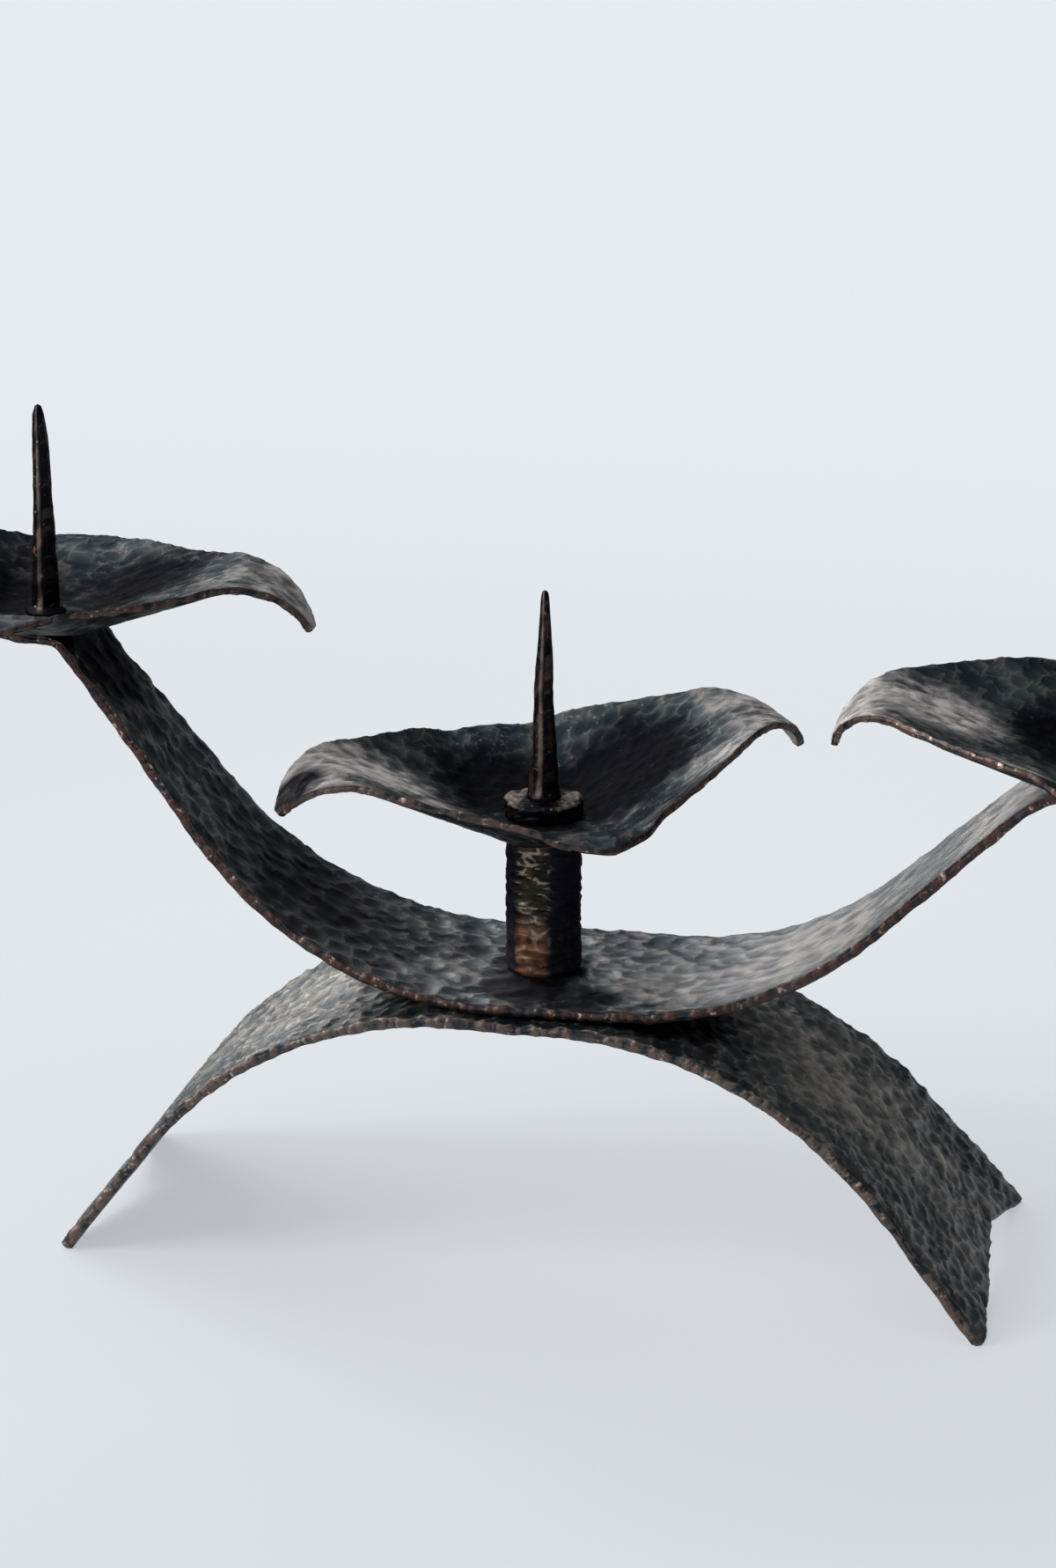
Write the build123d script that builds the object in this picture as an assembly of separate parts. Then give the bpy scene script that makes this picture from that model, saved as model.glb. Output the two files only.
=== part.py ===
from build123d import *
from collections import namedtuple
from math import asin, atan2, cos, hypot, pi, radians, sin, tan
import os

# A forged pricket stand for three candles. All lengths are in millimetres.
# The origin is on the floor, under the post. +X runs along the straps to the
# right-hand pan, +Y to the back and +Z up. Everything is fixed: the pieces
# are held by tenons whose ends are peened over.

# Foot strap: the arch that the stand rests on, with a shallow V cut in each end
foot_thickness = 3.6
foot_height = 74.0
foot_centre_width = 73.6
foot_reach_left = 126.5
foot_reach_right = 127.5
foot_flat_left = 18.0
foot_flat_right = 8.5
foot_straight_share_left = 0.431
foot_straight_share_right = 0.411
foot_flare_left = 5.5
foot_flare_right = 13.5
foot_toe_radius = 4.5
foot_toe_blunt = 0.8
foot_notch_depth = 8.0
foot_notch_offset_left = 0.0
foot_notch_offset_right = 18.0

# Arm strap: the narrower bar above it, bent to a U that is higher on the left.
# Each end runs level from a little inside its spike.
arm_thickness = 3.2
arm_centre_width = 66.6
arm_end_width = 29.2
arm_height_left = 165.2
arm_height_right = 140.7
arm_flat_left = 10.5
arm_flat_right = 28.0
arm_level_left = 4.0
arm_level_right = 5.2
arm_straight_share_left = 0.519
arm_straight_share_right = 0.477
arm_end_bend_left = 9.4
arm_end_bend_right = 30.0

# How far out each outer spike stands
left_spike_reach = 137.0
right_spike_reach = 150.0

# Post between the straps and the centre pan, with a tenon through both straps
post_diameter = 20.5
post_height = 40.0
post_chamfer = 0.8
post_tenon_diameter = 10.0
post_head_width = 16.0
post_head_height = 2.4

# Pans: a lozenge of sheet, dished round a flat seat, with its long corners curled
pan_thickness = 2.4
pan_length = 147.0
pan_width = 105.0
pan_dish_radius = 10.0
pan_crest_rise = 10.6
pan_lip_width = 9.0
pan_lip_fold = 2.1
pan_tip_width = 4.0
pan_corner_round = 4.0

# How each pan was worked, with angles in degrees. Turn is anticlockwise from
# above. Tilt steepens the wall on the pan's right and eases the one on its left.
# Lean lifts its back side. The tip angle is how far the curled end points down.
centre_turn = 30.7
centre_wall_angle = 28.0
centre_tilt = 3.5
centre_lean = 3.0
centre_curl_radius = 16.5
centre_tip_angle = 71.0
centre_side_bow = 2.8
left_turn = 5.2
left_wall_angle = 24.5
left_tilt = -6.7
left_lean = 0.0
left_curl_radius = 20.7
left_tip_angle = 73.5
left_side_bow = -2.3
right_turn = 3.3
right_wall_angle = 23.0
right_tilt = 3.2
right_lean = 6.3
right_curl_radius = 14.5
right_tip_angle = 85.0
right_side_bow = 5.2

# Collar under the centre spike, and the margin of flat seat round it
collar_diameter = 21.4
collar_height = 4.9
collar_chamfer = 0.6
collar_margin = 0.3

# Spikes and the tenons under them. The spikes and the peened ends of the tenons
# are hammered to flats, and a peened end's own flat is a share of its width.
spike_length = 56.5
centre_spike_base = 9.3
outer_spike_base = 8.2
outer_spike_flare = 11.0
outer_spike_flare_height = 1.6
spike_point_width = 1.3
spike_tenon_diameter = 6.0
spike_tenon_depth = 14.0
spike_head_width = 8.0
spike_head_height = 1.6
head_flat_share = 0.6
bar_flats = 12

# Room round each tenon in its hole, and one overrun for all cuts
tenon_clearance = 0.15
overrun = 2.0

# Outlines as shares: of reach and of flare along the foot strap's edges, of reach
# and of the widening along the arm strap's, and of length and base radius on a spike
foot_edge_shares = ((0.3, 0.03), (0.55, 0.17), (0.78, 0.47), (1, 1))
arm_edge_shares = ((0.22, 0.9), (0.44, 0.62), (0.66, 0.32), (0.85, 0.1))
centre_spike_shares = ((0.09, 0.86), (0.39, 0.645), (0.6, 0.565), (0.97, 0.22))
outer_spike_shares = ((0.37, 0.79), (0.58, 0.67), (0.85, 0.55), (0.96, 0.36))

# Where a pan's cross-sections lie, as shares of each stretch of its half length,
# and where the points of a cross-section lie, as shares of its half width
seat_shares = (0, 0.85, 1)
dish_shares = (0.5, 1)
wall_shares = (0.33, 0.67, 1)
curl_shares = (0.17, 0.34, 0.51, 0.67, 0.83, 1)
across_shares = (0.21, 0.31, 0.42, 0.53, 0.64, 0.83, 0.92, 1)

# Sizes and heights that follow
arm_reach_left = left_spike_reach - arm_level_left
arm_reach_right = right_spike_reach - arm_level_right
pan_seat = collar_diameter + 2 * collar_margin
arm_seat = foot_height
arm_top = arm_seat + arm_thickness
post_top = arm_top + post_height
centre_floor = post_top + pan_thickness
collar_top = centre_floor + collar_height
left_floor = arm_height_left + pan_thickness
right_floor = arm_height_right + pan_thickness

PanShape = namedtuple("PanShape", "turn wall_angle tilt lean curl_radius tip_angle side_bow")
centre_shape = PanShape(centre_turn, centre_wall_angle, centre_tilt, centre_lean,
                        centre_curl_radius, centre_tip_angle, centre_side_bow)
left_shape = PanShape(left_turn, left_wall_angle, left_tilt, left_lean,
                      left_curl_radius, left_tip_angle, left_side_bow)
right_shape = PanShape(right_turn, right_wall_angle, right_tilt, right_lean,
                       right_curl_radius, right_tip_angle, right_side_bow)


def strap_slope(reach, flat, rise, straight_share):
    """The angle of a strap's slope, of which a share is straight and the rest bent."""
    bent_share = 1 - straight_share
    return atan2(rise, reach - flat) + asin(bent_share * rise / hypot(reach - flat, rise))


def strap_line(reach, flat, rise, straight_share, end_bend, tail, way=1):
    """Half of a strap's upper line, from the middle out: flat, bend, slope and end.

    It bends up, or down where way is -1.
    """
    slope = strap_slope(reach, flat, rise, straight_share)
    length = rise / sin(slope)
    bend = length * (1 - straight_share) / tan(slope / 2) - end_bend
    turn = way * slope * 180 / pi
    line = [Line((0, 0), (flat, 0))]
    line.append(JernArc(line[0] @ 1, line[0] % 1, bend, turn))
    line.append(Line(line[1] @ 1, line[1] @ 1 + (line[1] % 1) * length * straight_share))
    if end_bend:
        line.append(JernArc(line[2] @ 1, line[2] % 1, end_bend, -turn))
    line.append(Line(line[-1] @ 1, line[-1] @ 1 + (line[-1] % 1) * tail))
    return line


def bent_bar(left_line, right_line, height, thickness, width):
    """A flat bar whose upper face follows the two half lines."""
    path = Wire([edge.mirror(Plane.YZ) for edge in left_line] + right_line)
    section = make_face(path.offset_2d(thickness, side=Side.LEFT, closed=True).edges())
    return extrude(Plane.XZ * Pos(0, height) * section, width / 2, both=True)


def tenon_hole(x, diameter, bottom, top):
    """The hole for a tenon, right through what lies between two heights."""
    hole = Circle(diameter / 2 + tenon_clearance)
    return Pos(x, 0, bottom - overrun) * extrude(hole, top - bottom + 2 * overrun)


def facet(corners):
    """One flat face between its corners."""
    return Face(Wire.make_polygon([Vector(*corner) for corner in corners], close=True))


def faceted(rings):
    """A solid of flat facets, stretched over rings that each have as many corners."""
    faces = [facet(rings[0][::-1]), facet(rings[-1])]
    for near, far in zip(rings, rings[1:]):
        next_near = near[1:] + near[:1]
        next_far = far[1:] + far[:1]
        for start, end, far_end, far_start in zip(near, next_near, next_far, far):
            faces.append(facet([start, end, far_end]))
            faces.append(facet([start, far_end, far_start]))
    return Solid(Shell(faces))


def drawn_bar(stages):
    """A round bar hammered to many flats, with the radius and height of each stage."""
    corners = [2 * pi * flat / bar_flats for flat in range(bar_flats)]
    return faceted([[(radius * cos(angle), radius * sin(angle), height) for angle in corners]
                    for radius, height in stages])


def peened_head(width, height):
    """The end of a tenon spread by the hammer: a low button that hangs from z = 0."""
    return drawn_bar([(width / 2 * head_flat_share, -height), (width / 2, 0)])


def foot_outline():
    """The foot strap from above, with long edges that flare to the toes."""
    half = foot_centre_width / 2
    right = [(foot_reach_right * out, half + foot_flare_right * widening)
             for out, widening in foot_edge_shares]
    left = [(-foot_reach_left * out, half + foot_flare_left * widening)
            for out, widening in foot_edge_shares]
    back = left[::-1] + [(0, half)] + right
    front = [(x, -y) for x, y in back]
    return make_face([Spline(*back), Line(back[-1], front[-1]),
                      Spline(*front), Line(back[0], front[0])])


def toe_cut(reach, flare, slope, notch_offset):
    """What is cut from the end of a right-hand leg: a V, square to the strap."""
    toe = foot_centre_width / 2 + flare - foot_toe_radius
    side = toe + 2 * foot_toe_radius + overrun
    below = foot_thickness + overrun
    outline = Polyline((-side, foot_toe_blunt), (-toe, foot_toe_blunt),
                       (notch_offset, foot_toe_blunt + foot_notch_depth),
                       (toe, foot_toe_blunt), (side, foot_toe_blunt),
                       (side, -2 * below), (-side, -2 * below), close=True)
    up_the_leg = Plane(origin=(reach, 0, 0), x_dir=(0, 1, 0), z_dir=(sin(slope), 0, cos(slope)))
    return extrude(up_the_leg * make_face(outline), below, both=True)


def make_foot_strap():
    """The arch: a bent bar trimmed to its outline, its toes and the floor."""
    tail = foot_thickness + overrun
    width = foot_centre_width + 2 * max(foot_flare_left, foot_flare_right) + 2 * overrun
    left = (foot_reach_left, foot_flat_left, foot_height, foot_straight_share_left)
    right = (foot_reach_right, foot_flat_right, foot_height, foot_straight_share_right)
    bar = bent_bar(strap_line(*left, 0, tail, way=-1), strap_line(*right, 0, tail, way=-1),
                   foot_height, foot_thickness, width)
    blank = extrude(foot_outline(), foot_height + overrun)
    blank = fillet(blank.edges().filter_by(Axis.Z), foot_toe_radius)
    bar = bar & blank
    bar -= toe_cut(foot_reach_right, foot_flare_right, strap_slope(*right), foot_notch_offset_right)
    left_cut = toe_cut(foot_reach_left, foot_flare_left, strap_slope(*left), foot_notch_offset_left)
    bar -= mirror(left_cut, Plane.YZ)
    return bar - tenon_hole(0, post_tenon_diameter, foot_height - foot_thickness, foot_height)


def arm_outline():
    """The arm strap from above: widest under the post, with a round end at each spike."""
    end = arm_end_width / 2
    bulge = arm_centre_width / 2 - end
    right = [(right_spike_reach * out, end + bulge * widening) for out, widening in arm_edge_shares]
    left = [(-left_spike_reach * out, end + bulge * widening) for out, widening in arm_edge_shares]
    back = [(-left_spike_reach, end)] + left[::-1] + [(0, end + bulge)] + right
    back.append((right_spike_reach, end))
    front = [(x, -y) for x, y in back]
    level = [(1, 0), (1, 0)]
    return make_face([
        Spline(*back, tangents=level), Spline(*front, tangents=level),
        ThreePointArc(back[-1], (right_spike_reach + end, 0), front[-1]),
        ThreePointArc(back[0], (-left_spike_reach - end, 0), front[0])])


def make_arm_strap():
    """The U: a bent bar trimmed to its outline, with a hole for each tenon."""
    bar = bent_bar(
        strap_line(arm_reach_left, arm_flat_left, arm_height_left - arm_top,
                   arm_straight_share_left, arm_end_bend_left, arm_end_width + overrun),
        strap_line(arm_reach_right, arm_flat_right, arm_height_right - arm_top,
                   arm_straight_share_right, arm_end_bend_right, arm_end_width + overrun),
        arm_top, arm_thickness, arm_centre_width + 2 * overrun)
    tall = max(arm_height_left, arm_height_right) + overrun
    bar = bar & extrude(arm_outline(), tall)
    bar -= tenon_hole(0, post_tenon_diameter, arm_seat, arm_top)
    bar -= tenon_hole(-left_spike_reach, spike_tenon_diameter,
                      arm_height_left - arm_thickness, arm_height_left)
    return bar - tenon_hole(right_spike_reach, spike_tenon_diameter,
                            arm_height_right - arm_thickness, arm_height_right)


def make_post():
    """The post, with its peened tenon below and a socket for the spike's tenon above."""
    body = extrude(Circle(post_diameter / 2), post_height)
    body = chamfer(body.edges().group_by(Axis.Z)[0], post_chamfer)
    through = arm_thickness + foot_thickness
    body += Pos(0, 0, -through) * extrude(Circle(post_tenon_diameter / 2), through)
    body += Pos(0, 0, -through) * peened_head(post_head_width, post_head_height)
    body -= tenon_hole(0, spike_tenon_diameter, post_height - spike_tenon_depth, post_height)
    return Pos(0, 0, arm_top) * body


def half_line(shape, side):
    """Stations from a pan's middle to one tip: distance run, x, z and section slope.

    The sheet bends sharply round the dish, so there its cross-sections lean over
    gradually, up to the top of the wall. Round the curl they stay square to it.
    """
    up = radians(shape.wall_angle + side * shape.tilt)
    down = radians(shape.tip_angle)
    seat = pan_seat / 2
    curl = shape.curl_radius
    bends = pan_dish_radius * sin(up) + curl * (sin(up) + sin(down))
    wall = (pan_length / 2 - seat - bends) / cos(up)
    points = [(seat * share, seat * share, 0) for share in seat_shares]
    for share in dish_shares:
        angle = up * share
        points.append((seat + pan_dish_radius * angle, seat + pan_dish_radius * sin(angle),
                       pan_dish_radius * (1 - cos(angle))))
    run, x, z = points[-1]
    for share in wall_shares:
        points.append((run + wall * share, x + wall * share * cos(up), z + wall * share * sin(up)))
    run, x, z = points[-1]
    stations = [(*point, up * point[0] / run) for point in points]
    for share in curl_shares:
        bent = (up + down) * share
        angle = up - bent
        stations.append((run + curl * bent, x + curl * (sin(up) - sin(angle)),
                         z + curl * (cos(angle) - cos(up)), angle))
    return stations


def half_width(shape, run, full_run):
    """Half the width of a pan at a station: sides that run in from rounded corners."""
    share = (hypot(run, pan_corner_round) - pan_corner_round) / (
        hypot(full_run, pan_corner_round) - pan_corner_round)
    straight = pan_width / 2 * (1 - share) + pan_tip_width / 2 * share
    return straight + shape.side_bow * sin(pi * share)


def side_rise(shape, y):
    """How far a pan's face stands above a station's line, y to one side of it."""
    crest = pan_width / 2 - pan_lip_width
    off_seat = max(0, abs(y) - pan_seat / 2)
    climb = min(1, off_seat / (crest - pan_seat / 2))
    lip = max(0, abs(y) - crest) / pan_lip_width
    lean = max(0, abs(y) - arm_end_width / 2) * tan(radians(shape.lean)) * (1 if y > 0 else -1)
    return pan_crest_rise * climb ** 2 * (3 - climb) / 2 - pan_lip_fold * lip ** 2 + lean


def pan_section(shape, half, x, z, slope):
    """The corners of one cross-section of the sheet, square to the length of the pan."""
    back = [half * share for share in across_shares]
    ys = [-y for y in back[::-1]] + [0] + back
    upper = [(y, side_rise(shape, y)) for y in ys]
    lower = [(y, rise - pan_thickness) for y, rise in upper]
    return [(x - sin(slope) * rise, y, z + cos(slope) * rise) for y, rise in upper + lower[::-1]]


def make_pan(shape, x, floor):
    """A dished and curled pan on its seat, with the hole for a spike's tenon."""
    sections = []
    for side in (-1, 1):
        stations = half_line(shape, side)
        full_run = stations[-1][0]
        for run, out, z, slope in stations[:0:-1] if side < 0 else stations:
            half = half_width(shape, run, full_run)
            sections.append(pan_section(shape, half, side * out, z, side * slope))
    sheet = Pos(x, 0, floor) * Rot(0, 0, shape.turn) * faceted(sections)
    return sheet - tenon_hole(x, spike_tenon_diameter, floor - pan_thickness, floor)


def make_collar():
    """The ring that the centre spike stands on."""
    ring = extrude(Circle(collar_diameter / 2), collar_height)
    ring = chamfer(ring.edges(), collar_chamfer)
    ring -= tenon_hole(0, spike_tenon_diameter, 0, collar_height)
    return Pos(0, 0, centre_floor) * ring


def spike_body(base, flare, flare_height, shares):
    """A spike drawn out in stages to a blunt point, standing on z = 0."""
    stages = [(flare / 2, 0)]
    if flare_height:
        stages.append((base / 2, flare_height))
    stages += [(base / 2 * width, spike_length * height) for height, width in shares]
    return drawn_bar(stages + [(spike_point_width / 2, spike_length)])


def make_centre_spike():
    """The centre spike, with a long tenon through collar and pan into the post."""
    depth = collar_height + pan_thickness + spike_tenon_depth
    spike = spike_body(centre_spike_base, centre_spike_base, 0, centre_spike_shares)
    spike += Pos(0, 0, -depth) * extrude(Circle(spike_tenon_diameter / 2), depth)
    return Pos(0, 0, collar_top) * spike


def make_outer_spike(x, floor):
    """An outer spike, with a tenon through pan and arm that is peened below."""
    depth = pan_thickness + arm_thickness
    spike = spike_body(outer_spike_base, outer_spike_flare, outer_spike_flare_height,
                       outer_spike_shares)
    spike += Pos(0, 0, -depth) * extrude(Circle(spike_tenon_diameter / 2), depth)
    spike += Pos(0, 0, -depth) * peened_head(spike_head_width, spike_head_height)
    return Pos(x, 0, floor) * spike


nodes = {
    "foot_strap": make_foot_strap(),
    "arm_strap": make_arm_strap(),
    "centre_post": make_post(),
    "centre_pan": make_pan(centre_shape, 0, centre_floor),
    "centre_collar": make_collar(),
    "centre_spike": make_centre_spike(),
    "left_pan": make_pan(left_shape, -left_spike_reach, left_floor),
    "left_spike": make_outer_spike(-left_spike_reach, left_floor),
    "right_pan": make_pan(right_shape, right_spike_reach, right_floor),
    "right_spike": make_outer_spike(right_spike_reach, right_floor),
}

os.makedirs("parts", exist_ok=True)
for name, solid in nodes.items():
    export_step(solid, f"parts/{name}.step")
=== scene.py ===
from collections import namedtuple
from math import cos, hypot, pi, radians, sin

import bmesh
import bpy
import numpy as np
from mathutils import Matrix, Vector


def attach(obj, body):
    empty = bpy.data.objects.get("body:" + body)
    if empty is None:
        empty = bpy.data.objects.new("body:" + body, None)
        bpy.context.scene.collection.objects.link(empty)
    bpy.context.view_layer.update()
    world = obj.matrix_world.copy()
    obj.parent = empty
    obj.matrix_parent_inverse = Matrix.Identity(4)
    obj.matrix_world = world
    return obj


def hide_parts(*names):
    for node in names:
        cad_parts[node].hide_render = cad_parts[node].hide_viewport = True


# The looks of a forged pricket stand: three lozenge pans with spikes, carried by
# an arm strap and a post on an arched foot strap. Every piece is hammered all
# over. The sheets are forged flat, dented while flat, and then bent.

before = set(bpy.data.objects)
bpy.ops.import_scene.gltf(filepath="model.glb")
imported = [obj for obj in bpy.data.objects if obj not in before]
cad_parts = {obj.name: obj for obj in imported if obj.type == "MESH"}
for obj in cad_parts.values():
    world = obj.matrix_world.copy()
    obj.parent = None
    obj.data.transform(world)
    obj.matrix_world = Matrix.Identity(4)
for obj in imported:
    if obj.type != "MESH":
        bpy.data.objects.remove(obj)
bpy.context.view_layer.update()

mm = 0.001

# Foot strap, as it is in the CAD part
foot_thickness = 3.6 * mm
foot_height = 74.0 * mm
foot_centre_width = 73.6 * mm
foot_reach = {-1: 126.5 * mm, 1: 127.5 * mm}
foot_flat = {-1: 18.0 * mm, 1: 8.5 * mm}
foot_straight_share = {-1: 0.431, 1: 0.411}
foot_flare = {-1: 5.5 * mm, 1: 13.5 * mm}
foot_flare_power = 2.9
foot_toe_radius = 4.5 * mm
foot_toe_blunt = 0.8 * mm
foot_notch_depth = 8.0 * mm
foot_notch_offset = {-1: 0.0 * mm, 1: 18.0 * mm}

# Arm strap
arm_thickness = 3.2 * mm
arm_centre_width = 66.6 * mm
arm_end_width = 29.2 * mm
arm_height = {-1: 165.2 * mm, 1: 140.7 * mm}
arm_reach = {-1: 133.0 * mm, 1: 144.8 * mm}
arm_flat = {-1: 10.5 * mm, 1: 28.0 * mm}
arm_straight_share = {-1: 0.519, 1: 0.477}
arm_end_bend = {-1: 9.4 * mm, 1: 30.0 * mm}
spike_reach = {-1: 137.0 * mm, 1: 150.0 * mm}

# Post, collar and spikes
post_diameter = 20.5 * mm
post_height = 40.0 * mm
post_chamfer = 0.8 * mm
post_head_width = 16.0 * mm
post_head_height = 2.4 * mm
tenon_diameter = 6.0 * mm
collar_diameter = 21.4 * mm
collar_height = 4.9 * mm
collar_chamfer = 0.6 * mm
spike_length = 56.5 * mm
spike_head_width = 8.0 * mm
spike_head_height = 1.6 * mm

# Pans
pan_thickness = 2.4 * mm
pan_length = 147.0 * mm
pan_width = 105.0 * mm
pan_seat = 22.0 * mm
pan_dish_radius = 10.0 * mm
pan_crest_rise = 10.6 * mm
pan_lip_width = 9.0 * mm
pan_lip_fold = 2.1 * mm
pan_tip_width = 4.0 * mm
pan_corner_round = 4.0 * mm

# How each pan was worked, with its angles in degrees
PanShape = namedtuple("PanShape", "turn wall_angle tilt lean curl_radius tip_angle side_bow")
centre_shape = PanShape(turn=30.7, wall_angle=28.0, tilt=3.5, lean=3.0,
                        curl_radius=16.5 * mm, tip_angle=71.0, side_bow=2.8 * mm)
left_shape = PanShape(turn=5.2, wall_angle=24.5, tilt=-6.7, lean=0.0,
                      curl_radius=20.7 * mm, tip_angle=73.5, side_bow=-2.3 * mm)
right_shape = PanShape(turn=3.3, wall_angle=23.0, tilt=3.2, lean=6.3,
                       curl_radius=14.5 * mm, tip_angle=85.0, side_bow=5.2 * mm)

# Heights that follow
arm_top = foot_height + arm_thickness
post_top = arm_top + post_height
centre_floor = post_top + pan_thickness
collar_top = centre_floor + collar_height
left_floor = arm_height[-1] + pan_thickness
right_floor = arm_height[1] + pan_thickness

# How hammer marks lie: in rows that wander, with blows of uneven force
noise_cells = 97
row_wander = 2.2 * mm
wander_span = 3
weakest_blow_share = 0.35
ridge_share = 0.5
low_ridge_share = 0.5
crease_share = 0.6
crest_share = 0.4

# A set of marks: how far apart they are along and across, how deep, how wide a bowl is
# and how far off its row, as shares of that, how far aslant the hammer falls, and the
# seed of its draws
Marks = namedtuple("Marks", "long wide depth bowl scatter slant seed")


def soft_noise(along, across, pitch, seed):
    """Smooth random waves between -1 and 1, a pitch apart."""
    rng = np.random.default_rng(seed)
    lattice = rng.uniform(-1, 1, (noise_cells, noise_cells))
    u, v = along / pitch, across / pitch
    i, j = np.floor(u).astype(int), np.floor(v).astype(int)
    fu, fv = u - i, v - j
    fu, fv = fu * fu * (3 - 2 * fu), fv * fv * (3 - 2 * fv)
    a = lattice[i % noise_cells, j % noise_cells]
    b = lattice[(i + 1) % noise_cells, j % noise_cells]
    c = lattice[i % noise_cells, (j + 1) % noise_cells]
    d = lattice[(i + 1) % noise_cells, (j + 1) % noise_cells]
    return (a * (1 - fu) + b * fu) * (1 - fv) + (c * (1 - fu) + d * fu) * fv


def hammer(along, across, marks):
    """Overlapping hammer blows: the level at each point, and its gap to the next blow's level.

    A blow leaves a bowl, a little aslant, and the deepest blow at a point wins, so that
    the bowls cut into each other like scales. The level is 0 on the flat and -1 at the
    bottom of the hardest blow.
    """
    rng = np.random.default_rng(marks.seed)
    jitter = rng.uniform(-0.5, 0.5, (noise_cells, noise_cells, 2)) * marks.scatter
    force = rng.uniform(weakest_blow_share, 1, (noise_cells, noise_cells))
    wander = wander_span * marks.long
    strayed = along + row_wander * soft_noise(along, across, wander, marks.seed + 2)
    across = across + row_wander * soft_noise(along, across, wander, marks.seed + 1)
    u, v = strayed / marks.long, across / marks.wide
    u = u + 0.5 * (np.floor(v) % 2)
    lowest, second = np.full(u.shape, np.inf), np.full(u.shape, np.inf)
    for di in (-1, 0, 1):
        for dj in (-1, 0, 1):
            i, j = np.floor(u).astype(int) + di, np.floor(v).astype(int) + dj
            pick = i % noise_cells, j % noise_cells
            aside_u = u - i - 0.5 - jitter[pick][..., 0]
            aside_v = v - j - 0.5 - jitter[pick][..., 1]
            level = (aside_u ** 2 + aside_v ** 2) / marks.bowl ** 2 - force[pick]
            level = level + marks.slant * (aside_u + aside_v)
            lower = level < lowest
            second = np.where(lower, lowest, np.minimum(second, level))
            lowest = np.where(lower, level, lowest)
    return np.clip(lowest, -1, 0), second - lowest


def near(gap, share):
    """How near a point is to the line where two blows meet, from 0 to 1."""
    return np.clip(1 - gap / share, 0, 1)


def standing_out(level, gap):
    """How far a point stands out to be rubbed: ridges, and most where a flat is left."""
    flat = np.clip(1 + level / crest_share, 0, 1)
    return np.clip(near(gap, ridge_share) * (low_ridge_share + flat), 0, 1)


# Sheets of iron

rim_rows = 3
bend_samples = 4000
on_rim_share = 0.999
edge_bulge = 0.4 * mm
edge_ease = 0.3 * mm
edge_skew = 0.6 * mm
pad_change = 9.0 * mm
pad_change_share = 0.2
crease_reach = 0.6 * mm
crease_depth_share = 0.5
edge_wear_reach = 0.5 * mm
thickness_apart = 0.05


def blank_sheet(steps_long, steps_wide):
    """A flat closed slab, two units long and wide and one thick, with rows round its rim."""
    bm = bmesh.new()
    bmesh.ops.create_grid(bm, x_segments=steps_long, y_segments=steps_wide, size=1)
    sheet = bmesh.ops.extrude_face_region(bm, geom=bm.faces[:], use_keep_orig=True)
    below = [part for part in sheet["geom"] if isinstance(part, bmesh.types.BMVert)]
    bmesh.ops.translate(bm, verts=below, vec=(0, 0, -1))
    upright = [edge for edge in bm.edges if abs(edge.verts[0].co.z - edge.verts[1].co.z) > 0.5]
    bmesh.ops.subdivide_edges(bm, edges=upright, cuts=rim_rows, use_grid_fill=True)
    bmesh.ops.recalc_face_normals(bm, faces=bm.faces[:])
    return bm


def read_places(bm):
    """The places of all the vertices of a bmesh, as rows of an array."""
    return np.array([vertex.co for vertex in bm.verts])


def write_places(bm, places):
    """Puts the vertices of a bmesh at new places."""
    for vertex, place in zip(bm.verts, places):
        vertex.co = place


def start_sheet(steps_long, steps_wide):
    """A blank sheet, the shares u, v and w at which its points lie, and their side of the middle."""
    bm = blank_sheet(steps_long, steps_wide)
    flat = read_places(bm)
    u, v, w = flat[:, 0], flat[:, 1], -flat[:, 2]
    return bm, u, v, w, np.where(u < 0, -1, 1)


def make_piece(name, bm, places, looks, material, node):
    """The finished piece: a mesh with its looks as attributes, in place of its CAD node."""
    write_places(bm, places)
    mesh = bpy.data.meshes.new(name)
    bm.to_mesh(mesh)
    bm.free()
    for title, values in looks.items():
        kind = "FLOAT_VECTOR" if values.ndim == 2 else "FLOAT"
        field = "vector" if values.ndim == 2 else "value"
        attribute = mesh.attributes.new(title, kind, "POINT")
        attribute.data.foreach_set(field, values.astype(np.float32).ravel())
    mesh.shade_smooth()
    mesh.materials.append(material)
    piece = bpy.data.objects.new(name, mesh)
    bpy.context.scene.collection.objects.link(piece)
    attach(piece, "root")
    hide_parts(node)
    return piece


def bend_table(stretches):
    """A line bent stretch by stretch, each a length and a turn: run, x, z and angle."""
    run, angle = [0.0], [0.0]
    for length, turn in stretches:
        run.append(run[-1] + length)
        angle.append(angle[-1] + turn)
    fine = np.linspace(0, run[-1], bend_samples)
    slope = np.interp(fine, run, angle)
    step = np.diff(fine)
    middle = (slope[1:] + slope[:-1]) / 2
    x = np.concatenate(([0], np.cumsum(step * np.cos(middle))))
    z = np.concatenate(([0], np.cumsum(step * np.sin(middle))))
    return fine, x, z, slope


def strap_stretches(reach, flat, rise, straight_share, end_bend, tail):
    """The stretches of half a strap, from the middle out, as the CAD part bends it."""
    bent_share = 1 - straight_share
    slope = np.arctan2(rise, reach - flat) + np.arcsin(
        bent_share * rise / hypot(reach - flat, rise))
    length = rise / sin(slope)
    bend = length * bent_share / np.tan(slope / 2) - end_bend
    return [(flat, 0), (bend * slope, slope), (length * straight_share, 0),
            (end_bend * slope, -slope), (tail, 0)]


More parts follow.
